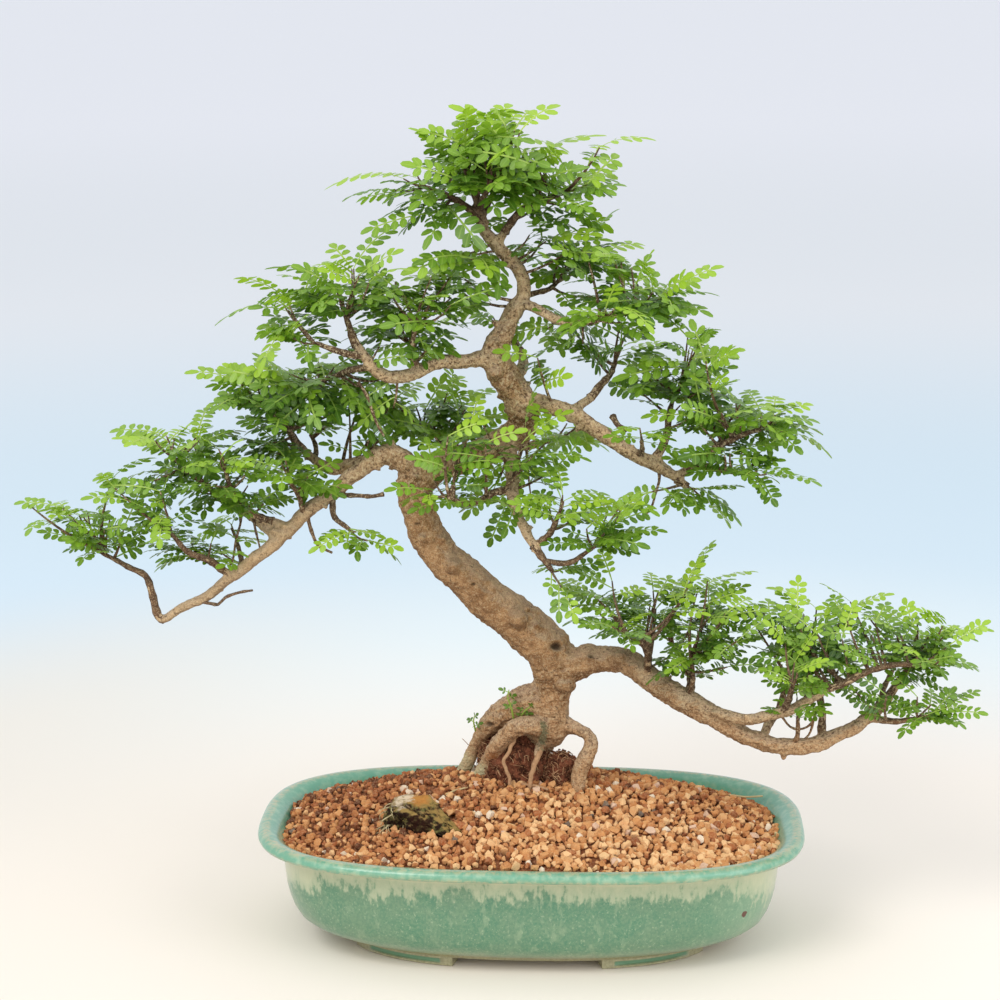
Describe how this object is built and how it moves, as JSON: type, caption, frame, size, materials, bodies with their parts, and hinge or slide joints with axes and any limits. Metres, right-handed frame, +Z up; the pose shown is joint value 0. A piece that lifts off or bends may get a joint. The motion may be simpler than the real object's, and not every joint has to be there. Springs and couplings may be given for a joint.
{
  "type": "potted bonsai tree",
  "caption": "Chinese pepper bonsai with a winding trunk, spreading branches and pinnate leaves, planted on a mound of granular soil in an oval glazed pot on low feet.",
  "frame": {"origin": "middle of the whole object's box in plan, at the level that the pot's feet stand on", "axes": "+X along the pot's length, to the right as seen from the front; +Y from the front to the back; +Z up"},
  "size_m": [0.6442, 0.2312, 0.5519],
  "materials": {
    "glaze": "gloss",
    "net": "matte",
    "granules": "matte",
    "peat": "matte",
    "mossy_wood": "matte",
    "bark": "matte",
    "old_leaf": "satin",
    "young_leaf": "satin"
  },
  "bodies": {
    "root": {"pot": "glaze", "drain_mesh_left": "net", "drain_mesh_right": "net", "soil": "granules", "root_ball": "peat", "root_stub": "mossy_wood", "trunk": "bark", "spray_apex_back": "young_leaf", "spray_apex_front": "old_leaf", "spray_apex_left": "old_leaf", "spray_apex_right": "young_leaf", "spray_back": "young_leaf", "spray_back_right_limb": "young_leaf", "spray_back_upper": "young_leaf", "spray_falling_front": "old_leaf", "spray_falling_front_left": "old_leaf", "spray_falling_front_side": "young_leaf", "spray_falling_front_up": "old_leaf", "spray_left": "young_leaf", "spray_left_fork_back": "young_leaf", "spray_left_fork_front": "old_leaf", "spray_left_fork_low": "old_leaf", "spray_left_fork_rise": "young_leaf", "spray_left_rise": "young_leaf", "spray_left_rise_twig_3": "old_leaf", "spray_left_rise_twig_4": "old_leaf", "spray_left_spur": "young_leaf", "spray_left_twig_1": "young_leaf", "spray_left_twig_2": "young_leaf", "spray_low_right": "old_leaf", "spray_low_right_back": "young_leaf", "spray_low_right_front": "old_leaf", "spray_low_right_front_up": "young_leaf", "spray_low_right_inner": "old_leaf", "spray_low_right_low": "young_leaf", "spray_low_right_middle": "old_leaf", "spray_low_right_outer": "old_leaf", "spray_low_right_tip_back": "young_leaf", "spray_low_right_twig_8": "young_leaf", "spray_low_right_twig_9": "young_leaf", "spray_middle_left": "young_leaf", "spray_middle_left_front": "young_leaf", "spray_middle_left_low": "old_leaf", "spray_middle_left_twig_5": "young_leaf", "spray_middle_left_up": "young_leaf", "spray_right": "young_leaf", "spray_right_back": "old_leaf", "spray_right_low": "young_leaf", "spray_right_reach": "old_leaf", "spray_right_reach_twig_7": "old_leaf", "spray_right_rise": "young_leaf", "spray_right_twig_6": "old_leaf", "spray_right_up": "young_leaf", "spray_right_up_front": "old_leaf", "spray_top": "young_leaf", "spray_upper_trunk_twig_10": "old_leaf"}
  },
  "joints": []
}
